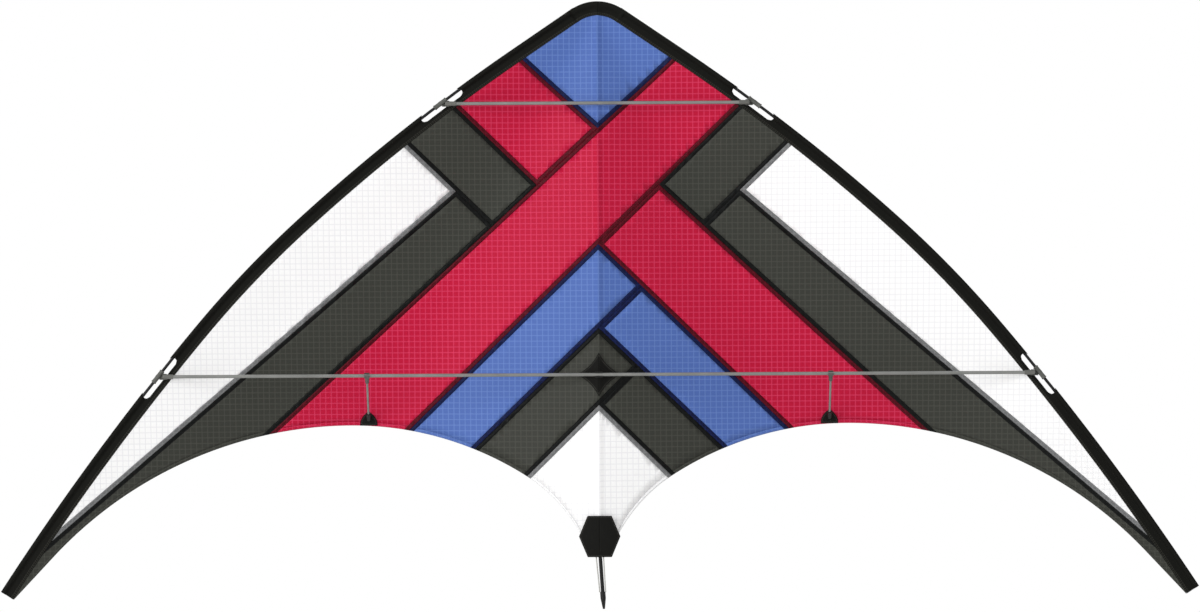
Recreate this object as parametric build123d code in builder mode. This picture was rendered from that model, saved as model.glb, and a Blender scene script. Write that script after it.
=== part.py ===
from build123d import *
import os
from math import asin, cos, radians, sin, sqrt, tan

# Dual-line delta stunt kite, rigged for flight.  Millimetres, +Z to the nose, +Y to the
# back of the sail, origin where the lower spreader crosses the spine.

# ---------------------------------------------------------------- driving dimensions
EDGE_APEX_Z = 508.4  # where the lines of the two leading-edge rods would cross
EDGE_ANGLE = 34.1  # droop of a leading edge at the nose, degrees
EDGE_RUNS = ((137, 0), (364, 8.1), (198, 7.8), (439, 6.82))  # length and turn of each stretch
EDGE_ROD_R = 2.0
EDGE_ROD_START = 32  # from the apex, along the rod

SLEEVE_R = 3.0  # leading-edge sleeve, round part
SLEEVE_BORE_R = 2.15
SLEEVE_WIDTH = 16.0  # rod centre to the sleeve's seam
SLEEVE_FRONT_Y = 1.8  # front of the sleeve's flat part
SLEEVE_FLAT = 1.0
WINDOW = (66, 11)  # opening in the sleeve at a connector: length, depth
WINDOW_INSET = 0.5

NOSE_HALF = 14.0  # half the nose cap's width
NOSE_R = 61.0  # rounding of the nose
NOSE_TOP_Z = 499.3
NOSE_CAP_DEPTH = 12.0
HALF_GAP = 1.5  # between the nose cap and each sleeve

SPINE_R = 2.5
SPINE_Y = 4.0  # the wings fold about this line
SPINE_TOP_Z = 494
SPINE_BEND_Z = -228  # below this the tail leans to one side
TAIL_LEAN = 3.7
TAIL_BEND_R = 180
TAIL_LENGTH = 65
SPINE_SLEEVE_R = 3.8
SPINE_SLEEVE_BORE_R = 2.7
SPINE_SLEEVE_TOP_Z = 468

UPPER_Z = 363  # height of the upper spreader
SPREADER_Y = -3.5
SPREADER_R = 2.25
SPREADER_BORE_R = 1.3
CAP_R = 3.1
CAP_LENGTH = 14
CAP_END = 2.5
CAP_STANDOFF = 6.5  # end of a spreader from the edge rod's centre
FERRULE_LENGTH = 80

CONNECTOR_R = 4.2
CONNECTOR_BORE_R = 2.1
CONNECTOR_LENGTH = 20
CRADLE_LENGTH = 18
CRADLE_WALL = 1.3
CRADLE_BACK_Y = 1.3
CRADLE_FRONT_Y = -6.7
CLEAR = 0.3  # between parts that come apart

SAIL_T = 0.6
SAIL_Y = 2.4  # the sail at the leading edge and at the spine
SAIL_START = 4.3  # from the spine's centre
SLOPE_AT_SPINE = 0.345
SLOPE_AT_EDGE = 0.315
BLEND_POWER = 3
TRAIL_TOP = (334, -67.5)  # highest point of the trailing edge
TRAIL_OUTER_R = 542
TRAIL_INNER_R = 443
TRAIL_STRAIGHT_X = 730  # from here the trailing edge runs straight to the tip
TRAIL_KNEE_X = 100  # where the trailing edge turns down to the tail
TRAIL_TAIL_R = 215
TAIL_CUT_Z = -238

# The sail's seams cross on the spine in pairs, one falling to each side.
SEAM_Z = (410.0, 329.5, 174.4, 62.2, -40.8)
SEAM_ANGLE = (40.65, 42.6, 44.2, 44.05, 44.6)

WHISKER_X = 310
WHISKER_R = 1.5
WHISKER_SEAT_Z = -59
WHISKER_CAP_R = 3.0
PATCH_SIZE = (23, 17, 0.8)

STAR_HALF = 29
STAR_WAIST = 13.5
STAR_T = 0.6
TAIL_PATCH_Z = -216.5
TAIL_PATCH = (55, 55, 32)  # width at the waist, height, width of the top and bottom edges

FAR = 1300  # beyond the kite on every side
SPINE_LINE = Plane.XZ.offset(-SPINE_Y)

os.makedirs("parts", exist_ok=True)


# ---------------------------------------------------------------- helpers
def keep(piece, name):
    """Label a finished piece and write it."""
    piece.part.label = name
    export_step(piece.part, f"parts/{name}.step")


def keep_pair(right, name):
    """Write a right-hand piece and its mirror image on the left wing."""
    keep(right, f"right_{name}")
    with BuildPart() as left:
        mirror(right.part, about=Plane.YZ)
    keep(left, f"left_{name}")


def edge_at(distance):
    """Centre of the right edge rod (x, z) and its droop in radians, along it from the apex."""
    x, z, droop, left = 0.0, EDGE_APEX_Z, radians(EDGE_ANGLE), distance
    for length, turn in EDGE_RUNS:
        step = min(left, length)
        swing = radians(turn) * step / length
        chord = step if swing == 0 else 2 * step / swing * sin(swing / 2)
        x += chord * cos(droop + swing / 2)
        z -= chord * sin(droop + swing / 2)
        droop += swing
        left -= step
    return x, z, droop


def edge_length():
    return sum(length for length, turn in EDGE_RUNS)


def edge_distance(z):
    """Distance along the edge rod at which it is at height z."""
    low, high = 0.0, float(edge_length())
    while high - low > 1e-4:
        middle = (low + high) / 2
        low, high = (middle, high) if edge_at(middle)[1] > z else (low, middle)
    return low


def edge_section(distance):
    """Plane across the edge rod: its x runs into the sail, its y to the back."""
    x, z, a = edge_at(distance)
    return Plane(origin=(x, 0, z), x_dir=(-sin(a), 0, -cos(a)), z_dir=(cos(a), 0, -sin(a)))


def edge_face(distance):
    """Plane of the wing at the edge rod: its x runs along the rod, its y into the sail."""
    x, z, a = edge_at(distance)
    return Plane(origin=(x, 0, z), x_dir=(cos(a), 0, -sin(a)), z_dir=(0, 1, 0))


def trailing_z(x):
    """Height of the trailing edge at x on the right wing."""
    top_x, top_z = TRAIL_TOP
    if x > TRAIL_STRAIGHT_X:
        reach = TRAIL_STRAIGHT_X - top_x
        slope = reach / sqrt(TRAIL_OUTER_R**2 - reach**2)
        return trailing_z(TRAIL_STRAIGHT_X) - slope * (x - TRAIL_STRAIGHT_X)
    if x >= top_x:
        return top_z - TRAIL_OUTER_R + sqrt(TRAIL_OUTER_R**2 - (x - top_x) ** 2)
    if x >= TRAIL_KNEE_X:
        return top_z - TRAIL_INNER_R + sqrt(TRAIL_INNER_R**2 - (top_x - x) ** 2)
    fall = asin((top_x - TRAIL_KNEE_X) / TRAIL_INNER_R)
    centre_x = TRAIL_KNEE_X + TRAIL_TAIL_R * sin(fall)
    centre_z = trailing_z(TRAIL_KNEE_X) - TRAIL_TAIL_R * cos(fall)
    return centre_z + sqrt(TRAIL_TAIL_R**2 - (centre_x - x) ** 2)


def billow(x, below_edge):
    """Depth of the sail behind its frame, at x and that far below the leading edge."""
    from_spine = SLOPE_AT_SPINE * x
    from_edge = SLOPE_AT_EDGE * below_edge
    if min(from_spine, from_edge) <= 1e-6:
        return 0.0
    return (from_spine**-BLEND_POWER + from_edge**-BLEND_POWER) ** (-1 / BLEND_POWER)


def seam_edge(distance):
    """Point (x, z) where the sail meets the leading-edge sleeve."""
    x, z, a = edge_at(distance)
    inset = SLEEVE_WIDTH + CLEAR
    return x - inset * sin(a), z - inset * cos(a)


def sail_point(distance, down):
    """Point of the right half of the sail: down is 0 at the leading edge, 1 at the trailing."""
    x, top = seam_edge(distance)
    below = down * (top - trailing_z(x))
    return Vector(x, SAIL_Y + billow(x, below), top - below)


def sail_y(x, z):
    """Depth of the sail's middle at (x, z) on the right wing."""
    low, high = 0.0, float(edge_length())
    while high - low > 1e-4:
        middle = (low + high) / 2
        low, high = (middle, high) if seam_edge(middle)[0] < x else (low, middle)
    return SAIL_Y + billow(x, seam_edge(low)[1] - z)


def rising(seam, x):
    """Point at x on the seam that rises to the right."""
    return x, SEAM_Z[seam] + x * tan(radians(SEAM_ANGLE[seam]))


def falling(seam, x):
    """Point at x on the seam that falls to the right."""
    return x, SEAM_Z[seam] - x * tan(radians(SEAM_ANGLE[seam]))


def crossing(up, down):
    """Where the rising seam 'up' meets the falling seam 'down'."""
    slopes = tan(radians(SEAM_ANGLE[up])) + tan(radians(SEAM_ANGLE[down]))
    return rising(up, (SEAM_Z[down] - SEAM_Z[up]) / slopes)


# ---------------------------------------------------------------- leading edges
def edge_path(start):
    """Centre line of the right edge rod, from a distance on its straight stretch to the tip."""
    with BuildLine(Plane.XZ) as path:
        x, z, a = edge_at(start)
        straight = EDGE_RUNS[0][0]
        joint_x, joint_z, a = edge_at(straight)
        run = Line((x, z), (joint_x, joint_z))
        for length, turn in EDGE_RUNS[1:]:
            run = JernArc(run @ 1, run % 1, length / radians(turn), -turn)
    return path.wire()


LOWER_STATION = edge_distance(0)
UPPER_STATION = edge_distance(UPPER_Z)
TIP = edge_length()

with BuildPart() as edge_rod:
    with BuildSketch(edge_section(EDGE_ROD_START)):
        Circle(EDGE_ROD_R)
    sweep(path=edge_path(EDGE_ROD_START))
    with BuildSketch(edge_section(TIP)):
        Circle(EDGE_ROD_R * 2)
    extrude(amount=-3, mode=Mode.SUBTRACT)
keep_pair(edge_rod, "leading_edge_rod")

with BuildPart() as tip_plug:
    with BuildSketch(edge_section(TIP)):
        Circle(EDGE_ROD_R)
    extrude(amount=-2.9)
keep_pair(tip_plug, "tip_plug")

with BuildPart() as sleeve:
    with BuildSketch(edge_section(EDGE_ROD_START / 4)):
        Circle(SLEEVE_R)
        with Locations((0, SLEEVE_FRONT_Y)):
            Rectangle(SLEEVE_WIDTH, SLEEVE_FLAT, align=(Align.MIN, Align.MIN))
        Circle(SLEEVE_BORE_R, mode=Mode.SUBTRACT)
    sweep(path=edge_path(EDGE_ROD_START / 4))
    with BuildSketch(Plane.XZ):
        with Locations((0, EDGE_APEX_Z)):
            Rectangle(2 * (NOSE_HALF + HALF_GAP), 140)
        with Locations((0, NOSE_TOP_Z)):
            Rectangle(90, 2 * NOSE_R, align=(Align.CENTER, Align.MIN))
    extrude(amount=20, both=True, mode=Mode.SUBTRACT)
    for station in (LOWER_STATION, UPPER_STATION):
        with BuildSketch(edge_face(station)):
            with Locations((0, WINDOW_INSET)):
                Rectangle(*WINDOW)
        extrude(amount=10, both=True, mode=Mode.SUBTRACT)
keep_pair(sleeve, "leading_edge_sleeve")

with BuildPart() as nose_cap:
    with BuildSketch(Plane.XZ):
        with Locations((0, NOSE_TOP_Z - NOSE_R)):
            Circle(NOSE_R)
        with Locations((0, NOSE_TOP_Z)):
            Rectangle(2 * NOSE_HALF, 2 * NOSE_CAP_DEPTH, mode=Mode.INTERSECT)
    extrude(amount=SLEEVE_R)
    extrude(to_extrude=nose_cap.faces().sort_by(Axis.Y)[-1], amount=SPINE_Y + SPINE_SLEEVE_R)
    with BuildSketch(Plane.XY.offset(SPINE_TOP_Z)):
        with Locations((0, SPINE_Y)):
            Circle(SPINE_R + 0.05)
    extrude(amount=-NOSE_R, mode=Mode.SUBTRACT)
keep(nose_cap, "nose_cap")


# ---------------------------------------------------------------- connectors
def edge_connector(station):
    """Moulded tube on the edge rod with an open-fronted cradle for a spreader's end."""
    x, z, a = edge_at(station)
    slot = 2 * (CAP_R + CLEAR)
    middle_y = (CRADLE_FRONT_Y + CRADLE_BACK_Y) / 2
    with BuildPart() as connector:
        with BuildSketch(edge_section(station)):
            Circle(CONNECTOR_R)
        extrude(amount=CONNECTOR_LENGTH / 2, both=True)
        with Locations((x - CRADLE_LENGTH, middle_y, z)):
            Box(
                CRADLE_LENGTH,
                CRADLE_BACK_Y - CRADLE_FRONT_Y,
                slot + 2 * CRADLE_WALL,
                align=(Align.MIN, Align.CENTER, Align.CENTER),
            )
        with Locations((x - CAP_STANDOFF + 1, SPREADER_Y + CAP_R + CLEAR, z)):
            Box(60, 60, slot, align=(Align.MAX, Align.MAX, Align.CENTER), mode=Mode.SUBTRACT)
        with BuildSketch(edge_section(station)):
            Circle(CONNECTOR_BORE_R)
        extrude(amount=2 * CONNECTOR_LENGTH, both=True, mode=Mode.SUBTRACT)
    return connector


keep_pair(edge_connector(LOWER_STATION), "lower_connector")
keep_pair(edge_connector(UPPER_STATION), "upper_connector")

# ---------------------------------------------------------------- spine and tail
with BuildLine(SPINE_LINE) as spine_line:
    spine_run = Line((0, SPINE_TOP_Z - 0.5), (0, SPINE_BEND_Z))
    spine_bend = JernArc(spine_run @ 1, spine_run % 1, TAIL_BEND_R, TAIL_LEAN)
    tail_run = Line(spine_bend @ 1, spine_bend @ 1 + (spine_bend % 1) * TAIL_LENGTH)

with BuildPart() as spine:
    with BuildSketch(Plane(origin=(0, SPINE_Y, SPINE_TOP_Z - 0.5), z_dir=(0, 0, -1))):
        Circle(SPINE_R)
    sweep(path=spine_line.wire())
keep(spine, "spine_rod")

TAIL_END = tail_run @ 1
TAIL_WAY = tail_run % 1
with BuildPart() as nock:
    with BuildSketch(Plane(origin=TAIL_END - TAIL_WAY * 14, z_dir=TAIL_WAY)):
        Circle(3.6)
    extrude(amount=9)
    with BuildSketch(Plane(origin=TAIL_END - TAIL_WAY * 5, z_dir=TAIL_WAY)):
        Circle(3.6)
    with BuildSketch(Plane(origin=TAIL_END + TAIL_WAY * 9, z_dir=TAIL_WAY)):
        Circle(1.4)
    loft()
    with BuildSketch(Plane(origin=TAIL_END, z_dir=-TAIL_WAY)):
        Circle(SPINE_R)
    extrude(amount=40, mode=Mode.SUBTRACT)
keep(nock, "tail_nock")

CORD_R = 0.8
with BuildPart() as tail_cords:
    for side in (-1, 1):
        anchor = Vector(side * 6.2, SPINE_Y - SPINE_R - 0.5, TAIL_PATCH_Z - TAIL_PATCH[1] / 2 + 0.5)
        notch = TAIL_END - TAIL_WAY * 14 + Vector(side * 3.0, -SPINE_R, 0)
        with BuildSketch(Plane(origin=anchor, z_dir=notch - anchor)):
            Circle(CORD_R)
        extrude(amount=(notch - anchor).length - 0.6)
keep(tail_cords, "tail_shock_cord")


def spine_sleeve(bottom, top):
    """Fabric pocket that holds the spine to the back of the sail."""
    with BuildPart() as pocket:
        with BuildSketch(Plane.XY.offset(bottom)):
            with Locations((0, SPINE_Y)):
                Circle(SPINE_SLEEVE_R)
                Circle(SPINE_SLEEVE_BORE_R, mode=Mode.SUBTRACT)
        extrude(amount=top - bottom)
    return pocket


CLIP_HALF = 8.0
keep(spine_sleeve(CLIP_HALF + 1, SPINE_SLEEVE_TOP_Z), "upper_spine_pocket")
keep(spine_sleeve(SPINE_BEND_Z + 1, -CLIP_HALF - 1), "lower_spine_pocket")

SEAT_HALF = 5.0
SEAT_BACK_Y = 0.4
with BuildPart() as centre_clip:
    with BuildSketch(Plane.XY.offset(-CLIP_HALF)):
        with Locations((0, SPINE_Y)):
            Circle(SPINE_SLEEVE_R)
    extrude(amount=2 * CLIP_HALF)
    with Locations((0, SPINE_Y, 0)):
        Box(6, SPINE_Y - SEAT_BACK_Y + 0.2, 8, align=(Align.CENTER, Align.MAX, Align.CENTER))
    with Locations((0, SEAT_BACK_Y, 0)):
        Box(
            2 * SEAT_HALF,
            SEAT_BACK_Y - CRADLE_FRONT_Y - 0.5,
            2 * (SPREADER_R + CLEAR + 1.4),
            align=(Align.CENTER, Align.MAX, Align.CENTER),
        )
    with Locations((0, SPREADER_Y + SPREADER_R + CLEAR, 0)):
        Box(
            60,
            60,
            2 * (SPREADER_R + CLEAR),
            align=(Align.CENTER, Align.MAX, Align.CENTER),
            mode=Mode.SUBTRACT,
        )
    with BuildSketch(Plane.XY.offset(-2 * CLIP_HALF)):
        with Locations((0, SPINE_Y)):
            Circle(SPINE_R)
    extrude(amount=4 * CLIP_HALF, mode=Mode.SUBTRACT)
keep(centre_clip, "centre_clip")

with BuildPart() as star:
    with BuildSketch(Plane.XZ):
        with BuildLine():
            tips = [(STAR_HALF, 0), (0, STAR_HALF), (-STAR_HALF, 0), (0, -STAR_HALF)]
            pull = STAR_WAIST / STAR_HALF / sqrt(2)
            for corner, tip in enumerate(tips):
                after = tips[(corner + 1) % 4]
                middle = ((tip[0] + after[0]) * pull, (tip[1] + after[1]) * pull)
                ThreePointArc(tip, middle, after)
        make_face()
        Rectangle(2 * SEAT_HALF + 1, 2 * (SPREADER_R + CLEAR + 1.4) + 1, mode=Mode.SUBTRACT)
    extrude(amount=STAR_T)
keep(star, "centre_star_patch")

with BuildPart() as tail_patch:
    with BuildSketch(Plane.XZ.offset(0.1)):
        waist, height, edge = TAIL_PATCH
        with Locations((0, TAIL_PATCH_Z)):
            Polygon(
                (waist / 2, 0),
                (edge / 2, height / 2),
                (-edge / 2, height / 2),
                (-waist / 2, 0),
                (-edge / 2, -height / 2),
                (edge / 2, -height / 2),
                align=None,
            )
    extrude(amount=1.0)
keep(tail_patch, "tail_patch")

# ---------------------------------------------------------------- spreaders
LOWER_END = edge_at(LOWER_STATION)[0] - CAP_STANDOFF
UPPER_END = edge_at(UPPER_STATION)[0] - CAP_STANDOFF


def spreader_cap(end, z):
    """Vinyl cap on the right end of a spreader."""
    with BuildPart() as cap:
        with BuildSketch(Plane(origin=(end, SPREADER_Y, z), z_dir=(-1, 0, 0))):
            Circle(CAP_R)
        extrude(amount=CAP_LENGTH)
        fillet(cap.edges().filter_by(GeomType.CIRCLE).sort_by(Axis.X)[-1], 1.0)
        with BuildSketch(Plane(origin=(end - CAP_END, SPREADER_Y, z), z_dir=(-1, 0, 0))):
            Circle(SPREADER_R)
        extrude(amount=CAP_LENGTH, mode=Mode.SUBTRACT)
    return cap


def spreader_tube(start, end, z):
    """Carbon tube along X."""
    with BuildPart() as tube:
        with BuildSketch(Plane(origin=(start, SPREADER_Y, z), z_dir=(1, 0, 0))):
            Circle(SPREADER_R)
            Circle(SPREADER_BORE_R, mode=Mode.SUBTRACT)
        extrude(amount=end - start)
    return tube


keep_pair(spreader_tube(0.05, LOWER_END - CAP_END, 0), "lower_spreader")
keep(spreader_tube(-UPPER_END + CAP_END, UPPER_END - CAP_END, UPPER_Z), "upper_spreader")
keep_pair(spreader_cap(LOWER_END, 0), "lower_spreader_cap")
keep_pair(spreader_cap(UPPER_END, UPPER_Z), "upper_spreader_cap")

with BuildPart() as ferrule:
    with BuildSketch(Plane(origin=(-FERRULE_LENGTH / 2, SPREADER_Y, 0), z_dir=(1, 0, 0))):
        Circle(SPREADER_BORE_R)
    extrude(amount=FERRULE_LENGTH)
keep(ferrule, "spreader_ferrule")

# ---------------------------------------------------------------- whiskers
PATCH_FRONT = SAIL_T / 2 + 0.5 + PATCH_SIZE[2]
SEAT_Y = sail_y(WHISKER_X, WHISKER_SEAT_Z) - PATCH_FRONT - WHISKER_CAP_R - 0.8
WHISKER_FOOT = Vector(WHISKER_X, SEAT_Y, WHISKER_SEAT_Z)
WHISKER_TOP = Vector(WHISKER_X, SPREADER_Y, 0)
WHISKER_WAY = (WHISKER_FOOT - WHISKER_TOP).normalized()
WHISKER_LENGTH = (WHISKER_FOOT - WHISKER_TOP).length


def along_whisker(distance):
    """Plane across the right whisker, that far from the spreader's centre."""
    origin = WHISKER_TOP + WHISKER_WAY * distance
    return Plane(origin=origin, x_dir=(1, 0, 0), z_dir=WHISKER_WAY)


with BuildPart() as whisker_rod:
    with BuildSketch(along_whisker(5)):
        Circle(WHISKER_R)
    extrude(amount=WHISKER_LENGTH - 6)
keep_pair(whisker_rod, "whisker_rod")

CLIP_WIDTH = 7
with BuildPart() as whisker_clip:
    with BuildSketch(Plane.YZ.offset(WHISKER_X - CLIP_WIDTH / 2)):
        with Locations((SPREADER_Y, 0)):
            Circle(SPREADER_R + 1.6)
    extrude(amount=CLIP_WIDTH)
    with BuildSketch(along_whisker(2)):
        Circle(2.7)
    extrude(amount=13)
    with BuildSketch(Plane.YZ.offset(WHISKER_X - CLIP_WIDTH)):
        with Locations((SPREADER_Y, 0)):
            Circle(SPREADER_R + 0.05)
    extrude(amount=2 * CLIP_WIDTH, mode=Mode.SUBTRACT)
    with BuildSketch(along_whisker(0)):
        Rectangle(2 * CLIP_WIDTH, 1.4 * SPREADER_R)
    extrude(amount=-10, mode=Mode.SUBTRACT)
    with BuildSketch(along_whisker(5)):
        Circle(WHISKER_R)
    extrude(amount=20, mode=Mode.SUBTRACT)
keep_pair(whisker_clip, "whisker_clip")

with BuildPart() as whisker_cap:
    with BuildSketch(along_whisker(WHISKER_LENGTH - 13)):
        Circle(WHISKER_CAP_R)
    extrude(amount=13)
    with Locations(Location(WHISKER_FOOT)):
        Sphere(WHISKER_CAP_R)
    with BuildSketch(along_whisker(WHISKER_LENGTH - 20)):
        Circle(WHISKER_R)
    extrude(amount=19, mode=Mode.SUBTRACT)
keep_pair(whisker_cap, "whisker_cap")


def sail_plane(x, z, standoff):
    """Plane that touches the right wing's sail at (x, z), moved that far to the front."""
    step = 0.5
    across = Vector(2 * step, sail_y(x + step, z) - sail_y(x - step, z), 0)
    up = Vector(0, sail_y(x, z + step) - sail_y(x, z - step), 2 * step)
    front = across.cross(up).normalized()
    return Plane(origin=Vector(x, sail_y(x, z), z) + front * standoff, x_dir=across, z_dir=front)


with BuildPart() as whisker_patch:
    patch_width, patch_height, patch_t = PATCH_SIZE
    patch_z = trailing_z(WHISKER_X) + 0.5
    with BuildSketch(sail_plane(WHISKER_X, patch_z, SAIL_T / 2 + 0.5)):
        with BuildLine():
            base = Line((-patch_width / 2, 0), (patch_width / 2, 0))
            ThreePointArc(base @ 1, (0, patch_height), base @ 0)
        make_face()
    extrude(amount=patch_t)
keep_pair(whisker_patch, "whisker_patch")

# ---------------------------------------------------------------- sail
COLUMNS = 36
ROWS = 12
FIRST_COLUMN = (SAIL_START + SLEEVE_WIDTH * sin(radians(EDGE_ANGLE))) / cos(radians(EDGE_ANGLE))
LAST_COLUMN = TIP - 6

skin_points = [
    [
        sail_point(FIRST_COLUMN + (LAST_COLUMN - FIRST_COLUMN) * column / COLUMNS, row / ROWS)
        for row in range(ROWS + 1)
    ]
    for column in range(COLUMNS + 1)
]
skin = Face.make_surface_from_array_of_points(skin_points, tol=0.05)

with BuildPart() as right_half:
    thicken(skin, amount=SAIL_T / 2, both=True)
with BuildPart() as left_half:
    mirror(right_half.part, about=Plane.YZ)


def panel(half, name, corners):
    """One cloth panel: the part of a half sail inside an outline seen from the front."""
    with BuildPart() as cloth:
        add(half.part)
        with BuildSketch(Plane.XZ):
            Polygon(*corners, align=None)
            with Locations((0, TAIL_CUT_Z)):
                Rectangle(
                    2 * TRAIL_KNEE_X, FAR, align=(Align.CENTER, Align.MAX), mode=Mode.SUBTRACT
                )
        extrude(amount=FAR / 4, both=True, mode=Mode.INTERSECT)
    keep(cloth, name)


blue_top = [crossing(1, 1), rising(1, FAR), (0, 2 * FAR), falling(1, -FAR)]
red_main = [rising(1, -FAR), rising(1, FAR), rising(2, FAR), rising(2, -FAR)]
blue_rising = [crossing(2, 2), rising(2, -FAR), rising(3, -FAR), crossing(3, 2)]
grey_rising = [crossing(3, 3), rising(3, -FAR), rising(4, -FAR), crossing(4, 3)]
white_tail = [crossing(4, 4), rising(4, -FAR), falling(4, FAR)]
for side, half in (("left", left_half), ("right", right_half)):
    panel(half, f"{side}_blue_nose_panel", blue_top)
    panel(half, f"{side}_red_main_band", red_main)
    panel(half, f"{side}_blue_rising_band", blue_rising)
    panel(half, f"{side}_grey_rising_band", grey_rising)
    panel(half, f"{side}_white_tail_panel", white_tail)

left_panels = {
    "left_red_square": [crossing(1, 1), falling(1, -FAR), falling(2, -FAR), crossing(1, 2)],
    "left_grey_square": [crossing(1, 2), falling(2, -FAR), falling(3, -FAR), crossing(1, 3)],
    "left_grey_wing_band": [crossing(0, 3), rising(0, -FAR), rising(1, -FAR), crossing(1, 3)],
    "left_white_wing_panel": [crossing(0, 3), falling(3, -FAR), rising(0, -FAR)],
}
right_panels = {
    "right_grey_square": [crossing(2, 1), rising(2, FAR), rising(3, FAR), crossing(3, 1)],
    "right_red_band": [crossing(2, 1), falling(1, FAR), falling(2, FAR), crossing(2, 2)],
    "right_grey_wing_band": [crossing(3, 0), falling(0, FAR), falling(1, FAR), crossing(3, 1)],
    "right_white_wing_panel": [crossing(3, 0), rising(3, FAR), falling(0, FAR)],
    "right_blue_falling_band": [crossing(3, 2), falling(2, FAR), falling(3, FAR), crossing(3, 3)],
    "right_grey_falling_band": [crossing(4, 3), falling(3, FAR), falling(4, FAR), crossing(4, 4)],
}
for name, corners in left_panels.items():
    panel(left_half, name, corners)
for name, corners in right_panels.items():
    panel(right_half, name, corners)
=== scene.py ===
"""Looks of the two-line delta kite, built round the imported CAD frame."""

import math

import bmesh
import bpy
import numpy as np
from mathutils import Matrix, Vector


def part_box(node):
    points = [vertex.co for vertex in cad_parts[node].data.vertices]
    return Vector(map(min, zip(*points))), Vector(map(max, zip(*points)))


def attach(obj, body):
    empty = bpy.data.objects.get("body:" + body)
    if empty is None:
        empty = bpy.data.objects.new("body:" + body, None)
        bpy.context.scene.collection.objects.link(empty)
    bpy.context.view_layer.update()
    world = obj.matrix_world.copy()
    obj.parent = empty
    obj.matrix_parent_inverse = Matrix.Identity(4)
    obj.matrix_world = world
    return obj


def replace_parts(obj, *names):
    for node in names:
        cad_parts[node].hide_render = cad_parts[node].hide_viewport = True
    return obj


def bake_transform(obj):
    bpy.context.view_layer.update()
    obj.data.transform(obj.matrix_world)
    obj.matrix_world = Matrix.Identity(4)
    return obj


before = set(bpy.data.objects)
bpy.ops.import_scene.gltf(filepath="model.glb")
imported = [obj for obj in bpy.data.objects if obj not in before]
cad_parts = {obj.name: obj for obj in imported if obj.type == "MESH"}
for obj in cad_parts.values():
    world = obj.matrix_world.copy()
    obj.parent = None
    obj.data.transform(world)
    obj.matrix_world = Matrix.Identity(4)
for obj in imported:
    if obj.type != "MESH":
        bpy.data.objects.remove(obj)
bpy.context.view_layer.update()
MM = 0.001

# ---------------------------------------------------------------- the kite's own dimensions, mm
EDGE_APEX_Z = 508.4
EDGE_ANGLE = 34.1
EDGE_RUNS = ((137, 0), (364, 8.1), (198, 7.8), (439, 6.82))  # length and turn of each stretch
TIP = sum(length for length, turn in EDGE_RUNS)
SLEEVE_WIDTH = 16.0
SEAM_INSET = SLEEVE_WIDTH + 0.3
TUCK_INSET = 13.0  # how far the sail's cloth reaches into the sleeve
NOSE_R = 58.0  # rounding of the nose, at the rods' line
NOSE_CENTRE_Z = 438.3
SPINE_Y = 4.0
SAIL_Y = 2.4
SLOPE_AT_SPINE = 0.345
SLOPE_AT_EDGE = 0.315
BLEND_POWER = 3
TRAIL_TOP = (334, -67.5)
TRAIL_OUTER_R = 542
TRAIL_INNER_R = 443
TRAIL_STRAIGHT_X = 730
TRAIL_KNEE_X = 100
TRAIL_TAIL_R = 215
TAIL_CUT_Z = -238
SEAM_Z = (410.0, 329.5, 174.4, 62.2, -40.8)  # where each pair of seams crosses the spine
SEAM_ANGLE = (40.65, 42.6, 44.2, 44.05, 44.6)
SEAM_HALF = 5.35  # half of a seam's overlap
HEM = 5.0  # rolled hem of the trailing edge
CLOTH_T = 0.3
SEAM_T = 0.8
RIDGE = 1.5  # the sail's rise where it runs over the spine
RIDGE_HALF = 7.0


# ---------------------------------------------------------------- geometry of the frame and the sail
def edge_at(distance):
    """Centre of the right edge rod (x, z) and its droop in radians, along it from the apex."""
    x, z, droop, left = 0.0, EDGE_APEX_Z, math.radians(EDGE_ANGLE), distance
    for length, turn in EDGE_RUNS:
        step = min(left, length)
        swing = math.radians(turn) * step / length
        chord = step if swing == 0 else 2 * step / swing * math.sin(swing / 2)
        x += chord * math.cos(droop + swing / 2)
        z -= chord * math.sin(droop + swing / 2)
        droop += swing
        left -= step
    return x, z, droop


def edge_distance(z):
    low, high = 0.0, float(TIP)
    while high - low > 1e-4:
        middle = (low + high) / 2
        low, high = (middle, high) if edge_at(middle)[1] > z else (low, middle)
    return low


def inset_point(distance, inset):
    """Point (x, z) that far inside the edge rod's line."""
    x, z, a = edge_at(distance)
    return x - inset * math.sin(a), z - inset * math.cos(a)


def trailing_z(x):
    top_x, top_z = TRAIL_TOP
    if x > TRAIL_STRAIGHT_X:
        reach = TRAIL_STRAIGHT_X - top_x
        slope = reach / math.sqrt(TRAIL_OUTER_R**2 - reach**2)
        return trailing_z(TRAIL_STRAIGHT_X) - slope * (x - TRAIL_STRAIGHT_X)
    if x >= top_x:
        return top_z - TRAIL_OUTER_R + math.sqrt(TRAIL_OUTER_R**2 - (x - top_x) ** 2)
    if x >= TRAIL_KNEE_X:
        return top_z - TRAIL_INNER_R + math.sqrt(TRAIL_INNER_R**2 - (top_x - x) ** 2)
    fall = math.asin((top_x - TRAIL_KNEE_X) / TRAIL_INNER_R)
    centre_x = TRAIL_KNEE_X + TRAIL_TAIL_R * math.sin(fall)
    centre_z = trailing_z(TRAIL_KNEE_X) - TRAIL_TAIL_R * math.cos(fall)
    return centre_z + math.sqrt(TRAIL_TAIL_R**2 - (centre_x - x) ** 2)


def billow(x, below_edge):
    from_spine, from_edge = SLOPE_AT_SPINE * x, SLOPE_AT_EDGE * below_edge
    if min(from_spine, from_edge) <= 1e-6:
        return 0.0
    return (from_spine**-BLEND_POWER + from_edge**-BLEND_POWER) ** (-1 / BLEND_POWER)


def ridge(x):
    return RIDGE * (1 - (x / RIDGE_HALF) ** 2) ** 2 if x < RIDGE_HALF else 0.0


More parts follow.
